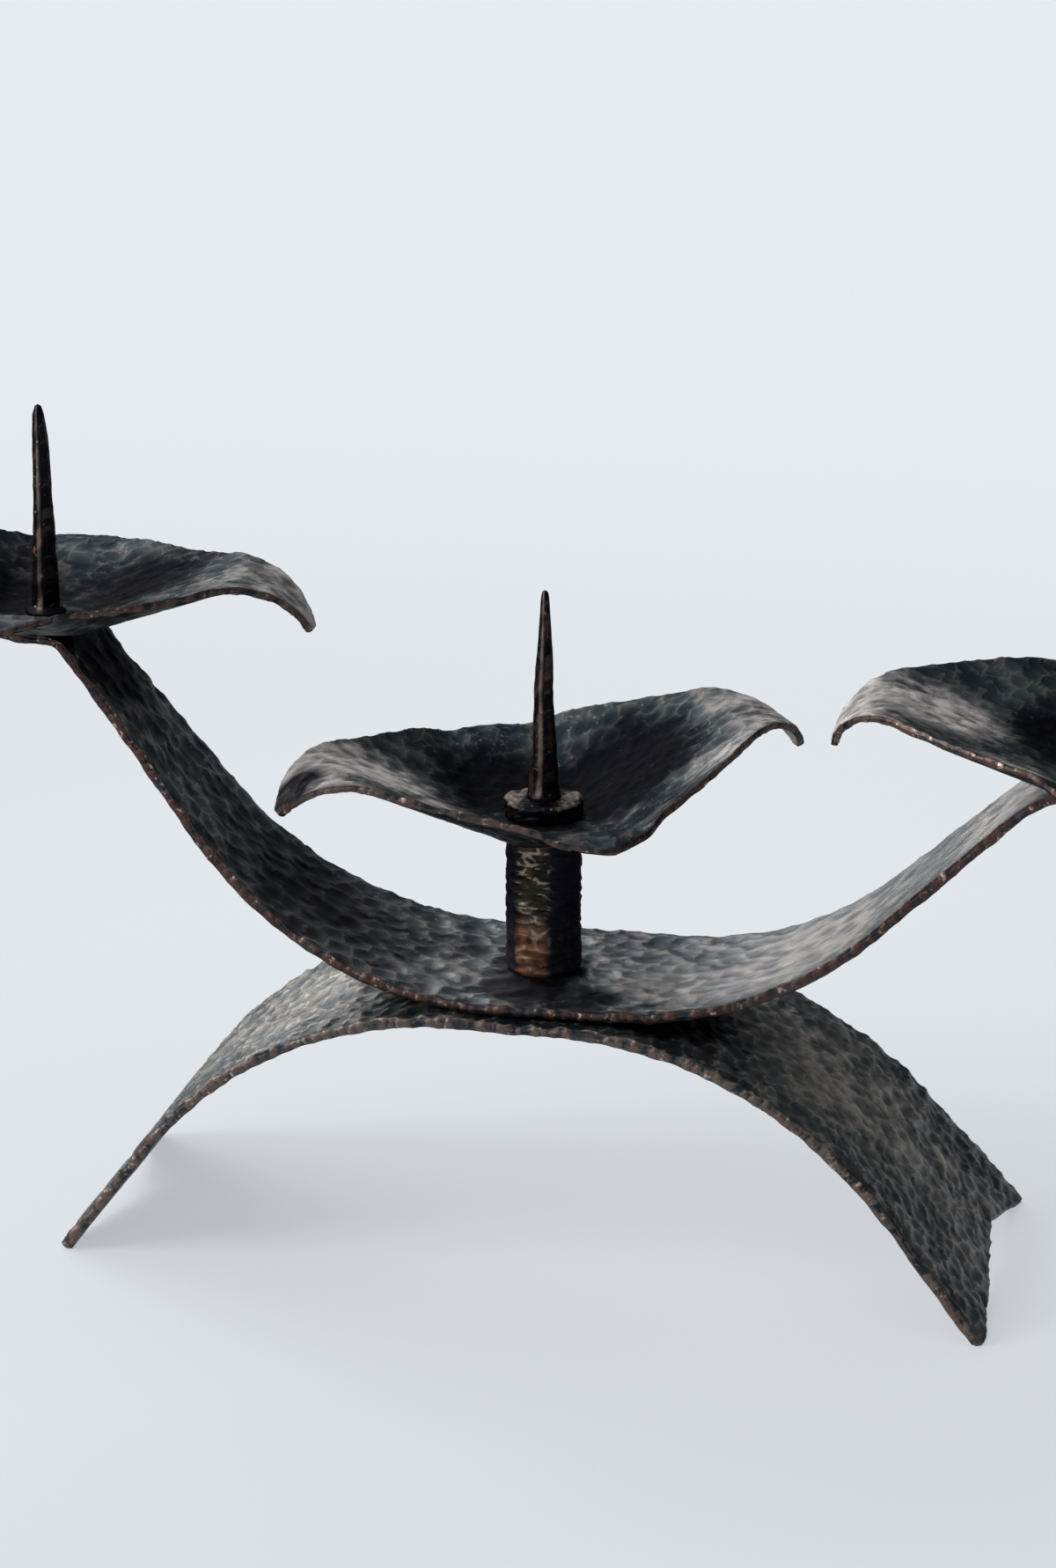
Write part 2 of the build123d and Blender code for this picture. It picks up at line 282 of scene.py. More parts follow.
def bend_sheet(run, across, lift, side, tables, way, height):
    """Places of points on a sheet once it is bent up, or down where way is -1."""
    places = np.zeros((len(run), 3))
    for hand, (fine, x, z, slope) in tables.items():
        mine = side == hand
        angle = np.interp(run[mine], fine, slope)
        out = np.interp(run[mine], fine, x) - way * np.sin(angle) * lift[mine]
        rise = way * np.interp(run[mine], fine, z)
        places[mine, 0] = hand * out
        places[mine, 2] = height + rise + np.cos(angle) * lift[mine]
    places[:, 1] = across
    return places


def worked_sheet(u, v, w, run, across, edge_gap, thickness, marks, calm):
    """Hammer work on a flat sheet: lift off its upper face, pull-in of its rim, and looks.

    The three sets of marks are those of the upper face, the under face and the rim. The
    rim is struck in short pads with a crease between two pads. Where the upper face is
    calm, its dents are worn shallow.
    """
    top_level, top_gap = hammer(run, across, marks[0])
    under_level, under_gap = hammer(run, across, marks[1])
    on_rim = (np.abs(v) > on_rim_share) | (np.abs(u) > on_rim_share)
    upper = w < 0.5
    top_dent = top_level * marks[0].depth * (1 - calm)
    lift = -thickness * w + top_dent * (1 - w) - under_level * marks[1].depth * w
    lift = np.where(on_rim, lift + (2 * w - 1) * edge_ease, lift)
    skew = run + w * edge_skew
    crease = near(hammer(skew, np.zeros_like(skew), marks[2])[1], crease_share)
    unevenness = soft_noise(skew, w, pad_change, marks[2].seed)
    crease = crease * (1 - pad_change_share + pad_change_share * unevenness)
    hang = np.exp(-edge_gap / crease_reach)
    faced = np.where(upper, 1, -1)
    lift = lift - faced * marks[2].depth * crease * hang * crease_depth_share
    pull = -marks[2].depth * crease - (1 - 2 * w) ** 2 * edge_bulge
    level = np.where(upper, top_level, under_level)
    ridge = np.where(upper, standing_out(top_level, top_gap) * (1 - calm),
                     standing_out(under_level, under_gap))
    looks = {"ridge": np.where(on_rim, 0, ridge), "hollow": np.where(on_rim, crease, -level),
             "edge": np.exp(-edge_gap / edge_wear_reach)}
    return lift, np.where(on_rim, pull, 0), looks


def rim_pull(share, pull):
    """The pull-in of a rim, at the points whose share puts them on it."""
    return np.where(np.abs(share) > on_rim_share, pull, 0)


def patches(x, y, spots):
    """How much of a set of soft round patches lies at each point, from 0 to 1."""
    cover = np.zeros(len(x))
    for spot_x, spot_y, reach, strength in spots:
        fade = np.clip(1 - np.hypot(x - spot_x, y - spot_y) / reach, 0, 1)
        cover = np.maximum(cover, strength * fade * fade * (3 - 2 * fade))
    return cover


def lay_patches(looks, places, rubs_and_highlights, soot_and_shade, flat_run, across, w):
    """Adds a sheet's patches of wear and painted sheen and of sooting and painted shade, and where
    each point lay on the flat sheet.
    """
    looks["rub_and_highlight"] = patches(places[:, 0], places[:, 1], rubs_and_highlights)
    looks["soot_and_shade"] = patches(places[:, 0], places[:, 1], soot_and_shade)
    looks["sheet"] = np.stack([flat_run, across, w * thickness_apart], 1)


# The two straps

# Patches of wear and painted sheen, and of sooting and painted shade, are given by their place,
# their reach and their strength
foot_steps_long = 490
foot_steps_wide = 95
foot_marks = (Marks(4.1 * mm, 5.6 * mm, 0.95 * mm, 0.8, 0.85, 0.5, 11),
              Marks(6.0 * mm, 8.0 * mm, 0.5 * mm, 0.7, 0.75, 0.2, 12),
              Marks(2.6 * mm, 50 * mm, 0.6 * mm, 0.75, 0.5, 0, 13))
foot_rubs = ((107 * mm, 18 * mm, 7 * mm, 1.0), (90 * mm, 20 * mm, 9 * mm, 0.7),
             (84 * mm, 0, 64 * mm, 0.5), (-70 * mm, 0, 60 * mm, 0.36))
# Painted shade on the foot under the arm strap, darkest to the right of the post, and a little by
# the right front toe
foot_soot_and_shade = ((-8 * mm, 8 * mm, 54 * mm, 0.9), (34 * mm, -12 * mm, 26 * mm, 1.4),
             (125 * mm, -42 * mm, 16 * mm, 0.3))
strap_wave = 0.25 * mm
wave_pitch = 24 * mm
wave_seed = 41


def make_foot(material):
    """The arch, with flared legs and a shallow V in each end."""
    bm, u, v, w, side = start_sheet(foot_steps_long, foot_steps_wide)
    tables = {}
    run, across, edge_gap = np.zeros((3, len(u)))
    for hand in (-1, 1):
        table = bend_table(strap_stretches(foot_reach[hand], foot_flat[hand], foot_height,
                                           foot_straight_share[hand], 0, 0))
        tables[hand] = table
        mine = side == hand
        full = table[0][-1] - foot_toe_blunt
        first_run = np.abs(u[mine]) * full
        out = np.interp(first_run, table[0], table[1]) / foot_reach[hand]
        half = foot_centre_width / 2 + foot_flare[hand] * out ** foot_flare_power
        into_toe = np.clip(first_run - (full - foot_toe_radius), 0, foot_toe_radius)
        half = half - foot_toe_radius + np.sqrt(foot_toe_radius ** 2 - into_toe ** 2)
        y = v[mine] * half
        toe = foot_centre_width / 2 + foot_flare[hand] - foot_toe_radius
        offset = foot_notch_offset[hand]
        notch = foot_notch_depth * np.where(
            y > offset, (toe - y) / (toe - offset), (toe + y) / (toe + offset))
        notch = np.clip(notch, 0, None)
        run[mine] = np.abs(u[mine]) * (full - notch)
        across[mine] = y
        edge_gap[mine] = np.minimum(half - np.abs(y), full - notch - run[mine])
    lift, pull, looks = worked_sheet(u, v, w, side * run, across, edge_gap, foot_thickness,
                                     foot_marks, 0)
    across = across + np.sign(v) * rim_pull(v, pull)
    run = run + rim_pull(u, pull)
    lift = lift + strap_wave * soft_noise(side * run, across, wave_pitch, wave_seed)
    places = bend_sheet(run, across, lift, side, tables, -1, foot_height)
    places[:, 2] = np.maximum(places[:, 2], 0)
    lay_patches(looks, places, foot_rubs, foot_soot_and_shade, side * run, across, w)
    return make_piece("hammered_foot_strap", bm, places, looks, material,
                      "foot_strap")


arm_steps_long = 620
arm_steps_wide = 76
arm_marks = (Marks(6.4 * mm, 5.8 * mm, 0.85 * mm, 0.75, 0.9, -0.35, 21),
             Marks(7.0 * mm, 7.0 * mm, 0.5 * mm, 0.7, 0.8, 0.2, 22),
             Marks(2.5 * mm, 50 * mm, 0.6 * mm, 0.75, 0.5, 0, 23))
arm_calm = ((110 * mm, 0, 110 * mm, 0.7),)
# Worn bare patches; those on the arm's right side also stand for a painted sheen
arm_rubs_and_sheen = ((75 * mm, 0, 60 * mm, 0.58), (40 * mm, -10 * mm, 32 * mm, 0.42),
            (-30 * mm, -12 * mm, 30 * mm, 0.28), (135 * mm, 0, 60 * mm, 0.62))
# Painted shade on the arm strap round the post's foot and along its left half, a painted shadow of
# the post just in front of it, and painted shade under the left pan
arm_soot_and_shade = ((-62 * mm, 0, 50 * mm, 0.6), (0, 0, 19 * mm, 1.5),
            (-1 * mm, -18 * mm, 16 * mm, 2.0), (19 * mm, -21 * mm, 12 * mm, 0.7),
            (-22 * mm, 6 * mm, 16 * mm, 0.4), (-124 * mm, 0, 24 * mm, 1.0))
# The round end stops just short of its own tip, so that its width stays above nothing
round_end_share = 0.999


def arm_half_width(x, reach):
    """Half the width of the arm strap at a distance from its middle."""
    out = np.clip(x / reach, 0, 1)
    return arm_end_width / 2 + (arm_centre_width - arm_end_width) / 2 * (1 - out ** 2) ** 2


def make_arm(material):
    """The U, widest in the middle, with a round level end under each outer pan."""
    bm, u, v, w, side = start_sheet(arm_steps_long, arm_steps_wide)
    tables = {}
    run, across, edge_gap = np.zeros((3, len(u)))
    for hand in (-1, 1):
        tail = spike_reach[hand] - arm_reach[hand] + arm_end_width / 2
        table = bend_table(strap_stretches(
            arm_reach[hand], arm_flat[hand], arm_height[hand] - arm_top,
            arm_straight_share[hand], arm_end_bend[hand], tail))
        tables[hand] = table
        mine = side == hand
        full = table[0][-1]
        run[mine] = np.abs(u[mine]) * full
        out = np.interp(run[mine], table[0], table[1])
        half = arm_half_width(out, spike_reach[hand])
        past = np.clip(out - spike_reach[hand], 0, arm_end_width / 2 * round_end_share)
        half = np.where(past > 0, np.sqrt((arm_end_width / 2) ** 2 - past ** 2), half)
        across[mine] = v[mine] * half
        edge_gap[mine] = np.minimum(half - np.abs(across[mine]), full - run[mine])
    calm = patches(side * run, across, arm_calm)
    lift, pull, looks = worked_sheet(u, v, w, side * run, across, edge_gap, arm_thickness,
                                     arm_marks, calm)
    across = across + np.sign(v) * rim_pull(v, pull)
    run = run + rim_pull(u, pull)
    places = bend_sheet(run, across, lift, side, tables, 1, arm_top)
    lay_patches(looks, places, arm_rubs_and_sheen, arm_soot_and_shade, side * run, across, w)
    return make_piece("hammered_arm_strap", bm, places, looks, material,
                      "arm_strap")


# The three pans

pan_steps_long = 360
pan_steps_wide = 130
pan_marks = (Marks(5.8 * mm, 4.3 * mm, 0.6 * mm, 0.75, 0.9, 0.3, 31),
             Marks(6.8 * mm, 4.8 * mm, 0.45 * mm, 0.7, 0.8, 0.2, 32),
             Marks(2.8 * mm, 50 * mm, 0.4 * mm, 0.75, 0.5, 0, 33))
tip_pull_share = 0.2
rub_and_sheen_from_share = 0.55
pan_calm = 0.5
# Worn bare patches on the walls of all three pans, partly a painted sheen
centre_rubs_and_sheen = ((-42 * mm, -18 * mm, 28 * mm, 1.0), (-20 * mm, -27 * mm, 20 * mm, 0.7),
               (50 * mm, 4 * mm, 20 * mm, 0.5), (16 * mm, -24 * mm, 14 * mm, 0.5))
# Dark dishes on all three pans: partly sooted, partly painted shade where a dish faces away from the
# light
centre_soot_and_shade = ((16 * mm, 18 * mm, 38 * mm, 1.0), (-16 * mm, 14 * mm, 30 * mm, 0.9),
               (0, 0, 20 * mm, 1.0), (30 * mm, -8 * mm, 16 * mm, 0.4),
               (-58 * mm, -36 * mm, 13 * mm, 0.9))
left_rubs_and_sheen = ((52 * mm, 6 * mm, 26 * mm, 0.4), (24 * mm, -26 * mm, 20 * mm, 0.3))
left_soot_and_shade = ((20 * mm, 16 * mm, 36 * mm, 0.7), (-12 * mm, 10 * mm, 40 * mm, 0.7),
             (8 * mm, -8 * mm, 24 * mm, 0.7))
right_rubs_and_sheen = ((-46 * mm, 0, 30 * mm, 0.85), (-24 * mm, -24 * mm, 22 * mm, 0.55))
right_soot_and_shade = ((-12 * mm, 12 * mm, 28 * mm, 1.0), (14 * mm, 8 * mm, 34 * mm, 0.9))
crest_ease = 7.0 * mm
ease_samples = 5


def side_rise(shape, y):
    """How far a pan's face stands above its middle line, y to one side of it."""
    crest = pan_width / 2 - pan_lip_width
    off_seat = np.clip(np.abs(y) - pan_seat / 2, 0, None)
    climb = np.clip(off_seat / (crest - pan_seat / 2), 0, 1)
    lip = np.clip(np.abs(y) - crest, 0, None) / pan_lip_width
    off_arm = np.clip(np.abs(y) - arm_end_width / 2, 0, None)
    lean = off_arm * np.tan(radians(shape.lean)) * np.sign(y)
    return pan_crest_rise * climb ** 2 * (3 - climb) / 2 - pan_lip_fold * lip ** 2 + lean


def eased_rise(shape, y):
    """As side_rise, with the crest eased over on the side that bends in one sweep."""
    steps = np.linspace(-crest_ease, crest_ease, ease_samples)
    eased = np.mean([side_rise(shape, y + step) for step in steps], axis=0)
    return np.where(y > 0, eased, side_rise(shape, y))


def pan_tables(shape, hand):
    """The bent middle line of half a pan, and how far its cross-sections lean on it."""
    up = radians(shape.wall_angle + hand * shape.tilt)
    down = radians(shape.tip_angle)
    bends = pan_dish_radius * sin(up) + shape.curl_radius * (sin(up) + sin(down))
    wall = (pan_length / 2 - pan_seat / 2 - bends) / cos(up)
    stretches = [(pan_seat / 2, 0), (pan_dish_radius * up, up), (wall, 0),
                 (shape.curl_radius * (up + down), -(up + down))]
    run, x, z, slope = bend_table(stretches)
    wall_end = pan_seat / 2 + pan_dish_radius * up + wall
    lean = np.where(run < wall_end, up * run / wall_end, slope)
    return run, x, z, lean


def turned(x, y, turn):
    """A place turned round the upright axis."""
    return x * cos(turn) - y * sin(turn), x * sin(turn) + y * cos(turn)


def make_pan(name, node, shape, at_x, floor, seeds, rubs_and_highlights, soot_and_shade, material):
    """A lozenge of sheet, dished and curled, hammered in rows along its length."""
    marks = [kind._replace(seed=seed) for kind, seed in zip(pan_marks, seeds)]
    bm, u, v, w, side = start_sheet(pan_steps_long, pan_steps_wide)
    tables = {hand: pan_tables(shape, hand) for hand in (-1, 1)}
    full = np.where(side < 0, tables[-1][0][-1], tables[1][0][-1])
    run = np.abs(u) * full
    share = (np.hypot(run, pan_corner_round) - pan_corner_round) / (
        np.hypot(full, pan_corner_round) - pan_corner_round)
    half = pan_width / 2 * (1 - share) + pan_tip_width / 2 * share
    half = half + shape.side_bow * np.sin(pi * share)
    across = v * half
    edge_gap = np.minimum(half - np.abs(across), full - run)
    # Lighter towards the tips: partly worn bare, partly a painted sheen
    rub_and_highlight = np.clip((run / full - rub_and_sheen_from_share) / (1 - rub_and_sheen_from_share), 0, 1)
    turn = radians(shape.turn)
    calm = pan_calm * np.maximum(rub_and_highlight, patches(*turned(side * run, across, turn), rubs_and_highlights))
    lift, pull, looks = worked_sheet(u, v, w, side * run, across, edge_gap, pan_thickness,
                                     marks, calm)
    across = across + np.sign(v) * rim_pull(v, pull)
    run_out = run + rim_pull(u, pull * tip_pull_share)
    lift = lift + eased_rise(shape, across)
    places = bend_sheet(run_out, across, lift, side, tables, 1, 0)
    places[:, 0], places[:, 1] = turned(places[:, 0], places[:, 1], turn)
    lay_patches(looks, places, rubs_and_highlights, soot_and_shade, side * run, across, w)
    looks["rub_and_highlight"] = np.maximum(rub_and_highlight, looks["rub_and_highlight"])
    places[:, 0] += at_x
    places[:, 2] += floor
    return make_piece(name, bm, places, looks, material, node)


# The post, the collar and the spikes

merge_gap = 0.002 * mm
peen_edge = 0.2 * mm
dent_full_radius = 4.0 * mm
row_sway_share = 0.3
rows_between_flats = 7

# The lit side of the round pieces, seen from above: the post gets painted shade away from it and
# each spike a painted highlight towards it
bright_side = radians(-97)


def turned_blank(profile, row_pitch, sides):
    """A round blank: a profile from the bottom pole to the top one, spun about Z."""
    bm = bmesh.new()
    corners = [bm.verts.new((radius, 0, height)) for radius, height in profile]
    for start, end in zip(corners, corners[1:]):
        bm.edges.new((start, end))
    for edge in bm.edges[:]:
        cuts = int(edge.calc_length() / row_pitch)
        if cuts:
            bmesh.ops.subdivide_edges(bm, edges=[edge], cuts=cuts)
    bmesh.ops.spin(bm, geom=bm.verts[:] + bm.edges[:], cent=(0, 0, 0), axis=(0, 0, 1),
                   angle=2 * pi, steps=sides, use_merge=True, use_duplicate=False)
    bmesh.ops.remove_doubles(bm, verts=bm.verts[:], dist=merge_gap)
    bmesh.ops.recalc_face_normals(bm, faces=bm.faces[:])
    return bm


def dent_round(places, marks, flats, flat_depth, twist):
    """Hammer marks and worn flats on a round bar, deepest where it is thickest."""
    radius = np.hypot(places[:, 0], places[:, 1])
    angle = np.arctan2(places[:, 1], places[:, 0])
    height = places[:, 2]
    girth = (angle + pi) / (2 * pi) * flats
    along = height + row_sway_share * marks.long * np.sin(2 * angle)
    level, gap = hammer(along, np.floor(girth) * rows_between_flats * marks.wide, marks)
    phase = (girth + twist * height) % 1 - 0.5
    chord = np.cos(pi / flats) / np.cos(2 * pi * phase / flats)
    squeeze = 1 - flat_depth * (1 - chord) / (1 - np.cos(pi / flats))
    grown = radius * squeeze + level * marks.depth * np.clip(radius / dent_full_radius, 0, 1)
    scale = np.where(radius > merge_gap, grown / np.maximum(radius, merge_gap), 1)
    moved = places.copy()
    moved[:, 0] *= scale
    moved[:, 1] *= scale
    return moved, standing_out(level, gap), -level


def round_looks(places, ridge, hollow, rub_and_highlight, soot_and_shade):
    """The looks of a round piece, measured up it and round it."""
    angle = np.arctan2(places[:, 1], places[:, 0])
    radius = np.hypot(places[:, 0], places[:, 1])
    none = np.zeros(len(places))
    return {"ridge": ridge, "hollow": hollow, "edge": none, "rub_and_highlight": rub_and_highlight, "soot_and_shade": soot_and_shade,
            "sheet": np.stack([places[:, 2], angle * radius, none], 1)}


post_row_pitch = 0.4 * mm
post_sides = 140
post_marks = Marks(6.5 * mm, 2.2 * mm, 0.55 * mm, 0.8, 1.0, 0, 51)
post_tenon_share = 0.5
post_sink = 0.3 * mm
post_skin = 0.01 * mm
peen_top_share = 0.55
peen_shoulder_share = 0.9
copper_height = 24 * mm
bright_half_width = radians(16)
bright_fade = radians(26)


def away_from_bright(angle):
    """How far round a piece a point lies from its bright side."""
    return np.abs(np.angle(np.exp(1j * (angle - bright_side))))


def make_post(material):
    """The hammered bar between the straps and the centre pan, with its peened end below."""
    half, head = post_diameter / 2, post_head_width / 2
    under = -(foot_thickness + arm_thickness)
    tenon = half * post_tenon_share
    profile = [(0, under - post_head_height), (head * peen_top_share, under - post_head_height),
               (head * peen_shoulder_share, under - post_head_height / 2),
               (head, under - peen_edge), (head, under), (tenon, under), (tenon, -post_sink),
               (half - post_chamfer, -post_sink), (half - post_chamfer, 0),
               (half, post_chamfer), (half, post_height), (0, post_height)]
    bm = turned_blank(profile, post_row_pitch, post_sides)
    places = read_places(bm)
    outside = np.hypot(places[:, 0], places[:, 1]) > half - post_skin
    angle = np.arctan2(places[:, 1], places[:, 0])
    level, gap = hammer(angle * half, places[:, 2], post_marks)
    scale = np.where(outside, 1 + level * post_marks.depth / half, 1)
    # The post turns copper-red towards its foot, and its side turned away from the light gets
    # painted shade
    low = np.clip(1 - places[:, 2] / copper_height, 0, 1)
    painted_shade_side = np.clip((away_from_bright(angle) - bright_half_width) / bright_fade, 0, 1)
    ridge = standing_out(level, gap) * outside
    looks = round_looks(places, ridge, -level * outside, low, painted_shade_side)
    places[:, 0] *= scale
    places[:, 1] *= scale
    places[:, 2] += arm_top
    return make_piece("hammered_post", bm, places, looks, material, "centre_post")


collar_row_pitch = 0.5 * mm
collar_sides = 96
collar_marks = Marks(4.5 * mm, 2.6 * mm, 0.6 * mm, 0.7, 0.8, 0.4, 52)
collar_top_share = 0.8
# Where the painted highlights on the collar's top begin off its middle, how far they fade in, and
# how strong they get
collar_highlight_from = 4.0 * mm
collar_highlight_fade = 3.0 * mm
collar_most_highlight = 0.6


def make_collar(material):
    """The rough ring that the centre spike stands on."""
    half = collar_diameter / 2
    hole = tenon_diameter / 2
    profile = [(hole, 0), (half - collar_chamfer, 0), (half, collar_chamfer),
               (half, collar_height - collar_chamfer), (half - collar_chamfer, collar_height),
               (hole, collar_height), (hole, 0)]
    bm = turned_blank(profile, collar_row_pitch, collar_sides)
    places = read_places(bm)
    angle = np.arctan2(places[:, 1], places[:, 0])
    radius = np.hypot(places[:, 0], places[:, 1])
    level, gap = hammer(angle * half, places[:, 2] + radius, collar_marks)
    dent = level * collar_marks.depth
    outer = np.clip((radius - hole) / (half - hole), 0, 1)
    scale = 1 + dent * outer / radius
    places[:, 0] *= scale
    places[:, 1] *= scale
    places[:, 2] += centre_floor + dent * outer * (places[:, 2] > collar_height / 2)
    none = np.zeros(len(places))
    # Painted highlights on the collar's top, to the left and right of the spike
    on_top = places[:, 2] > centre_floor + collar_height * collar_top_share
    aside = (np.abs(places[:, 0]) - collar_highlight_from) / collar_highlight_fade
    rub_and_highlight = np.clip(aside, 0, collar_most_highlight) * on_top
    looks = round_looks(places, standing_out(level, gap), -level, rub_and_highlight, none)
    return make_piece("rough_collar", bm, places, looks, material, "centre_collar")


spike_row_pitch = 0.6 * mm
spike_sides = 36
spike_marks = Marks(5.5 * mm, 3 * mm, 0.35 * mm, 0.7, 0.7, 0, 61)
spike_bright_half_width = radians(21)
spike_flats = 7
spike_flat_depth = 0.09
spike_twist = 6.0
spike_ease = 2 * mm
spike_waver = 0.25 * mm
waver_pitch = 14 * mm
spike_peen_share = 0.6
centre_tenon = 14 * mm

# Each spike from its base to its point, by radius and height
centre_spike_stages = [(4.65 * mm, 0), (4.0 * mm, 5.1 * mm), (3.0 * mm, 22 * mm),
                       (2.63 * mm, 33.9 * mm), (1.63 * mm, 48 * mm), (1.15 * mm, 54.8 * mm),
                       (0.8 * mm, 56.1 * mm)]
outer_spike_stages = [(5.5 * mm, 0), (4.1 * mm, 1.6 * mm), (3.24 * mm, 20.9 * mm),
                      (2.75 * mm, 32.8 * mm), (2.26 * mm, 48 * mm), (1.6 * mm, 54 * mm),
                      (0.9 * mm, 56 * mm)]


def make_spike(name, node, at_x, floor, below, stages, head, seed, material):
    """A drawn-out spike with a blunt point, its tenon and, on an outer one, the peened end."""
    profile = [(0, -below)]
    if head:
        radius, height = spike_head_width / 2, spike_head_height
        profile = [(0, -below - height), (radius * spike_peen_share, -below - height),
                   (radius, -below - peen_edge), (radius, -below)]
    profile += [(tenon_diameter / 2, -below), (tenon_diameter / 2, 0)]
    profile += stages + [(0, spike_length)]
    bm = turned_blank(profile, spike_row_pitch, spike_sides)
    places = read_places(bm)
    none = np.zeros(len(places))
    above = np.clip(places[:, 2] / spike_ease, 0, 1)
    marks = spike_marks._replace(seed=seed)
    moved, ridge, hollow = dent_round(places, marks, spike_flats, spike_flat_depth, spike_twist)
    places = places + (moved - places) * above[:, None]
    waver = spike_waver * soft_noise(places[:, 2], none, waver_pitch, seed)
    places[:, 0] += at_x + above * waver
    places[:, 2] += floor
    away = away_from_bright(np.arctan2(moved[:, 1], moved[:, 0]))
    # A painted highlight down the lit side of the spike
    lit = np.clip(1 - away / spike_bright_half_width, 0, 1) * above
    looks = round_looks(places, ridge * above, hollow * above, lit, none)
    return make_piece(name, bm, places, looks, material, node)


# The finishes

# How fine the patterns of wear are, in waves per metre, and how far streaks are drawn out
cloud_scale = 70
blotch_scale = 170
streak_scale = 420
grain_scale = 1500
speck_scale = 520
streak_stretch = 0.55

# Limits between which a pattern or a look turns from nothing to full, and where there are
# four, what it turns from and to
cloud_limits = (0.38, 0.62)
brown_limits = (0.5, 0.66)
rubbed_and_highlight_limits = (0.43, 0.84)
rub_and_highlight_limits = (0.0, 0.6)
sunk_limits = (0.3, 1.2, 0.0, 0.75)
worn_ridge_limits = (0.95, 1.45)
soot_and_shade_limits = (0.1, 0.7)
soot_and_shade_near_limits = (0.0, 0.2)
thin_soot_and_shade_limits = (0.75, 0.4, 0.85, 1.0)
copper_edge_limits = (0.6, 0.74)
edge_crease_limits = (0.36, 0.84)
edge_brown_limits = (0.3, 0.5, 0.4, 1.0)
fleck_limits = (0.66, 0.72)
soot_and_shade_fleck_limits = (0.3, 1.0, 1.0, 0.15)
roughness_limits = (0.35, 0.65, 0.36, 0.5)
dull_metal_limits = (0.0, 1.0, 1.0, 0.35)

# How much one look or pattern adds to another
rub_and_highlight_gain = 0.3
streak_gain = 0.4
rub_and_highlight_shallowing = 0.1
ridge_gain = 0.8
cloud_gain = 0.4
hollow_soot_and_shade_gain = 0.15
soot_and_shade_dulling = 0.3
rub_and_highlight_dulling = 0.22
grain_height = 0.5
blotch_height = 0.8
bump_strength = 0.5
iron_specular = 0.35


def add(tree, kind, feeds=None, **settings):
    """A node with its settings, fed by other nodes' outputs or by plain values."""
    node = tree.nodes.new(kind)
    for setting, value in settings.items():
        setattr(node, setting, value)
    for socket, source in (feeds or {}).items():
        if isinstance(source, bpy.types.NodeSocket):
            tree.links.new(source, node.inputs[socket])
        else:
            node.inputs[socket].default_value = source
    return node


def mix(tree, mask, first, second, blend="MIX"):
    """One colour laid over another where a mask says so."""
    node = add(tree, "ShaderNodeMix", {0: mask, 6: first, 7: second},
               data_type="RGBA", blend_type=blend)
    return node.outputs[2]


def ramp(tree, value, low, high, to_low=0.0, to_high=1.0):
    """A value stretched from one range to another, smoothly and clamped."""
    node = add(tree, "ShaderNodeMapRange", {0: value, 1: low, 2: high, 3: to_low, 4: to_high},
               interpolation_type="SMOOTHSTEP")
    return node.outputs[0]


def times(tree, first, second):
    """Two values multiplied."""
    return add(tree, "ShaderNodeMath", {0: first, 1: second}, operation="MULTIPLY").outputs[0]


def plus(tree, first, second):
    """Two values added."""
    return add(tree, "ShaderNodeMath", {0: first, 1: second}, operation="ADD").outputs[0]


def minus(tree, first, second):
    """The first value less the second."""
    return add(tree, "ShaderNodeMath", {0: first, 1: second}, operation="SUBTRACT").outputs[0]


def noise(tree, place, scale, detail=4.0, rough=0.6):
    """Cloudy noise at a place, as a value round one half."""
    return add(tree, "ShaderNodeTexNoise", {"Vector": place, "Scale": scale, "Detail": detail,
                                            "Roughness": rough}).outputs["Fac"]


def look(tree, name, kind="Fac"):
    """One of the looks that a piece carries, such as how near a ridge a point lies."""
    return add(tree, "ShaderNodeAttribute", attribute_name=name).outputs[kind]


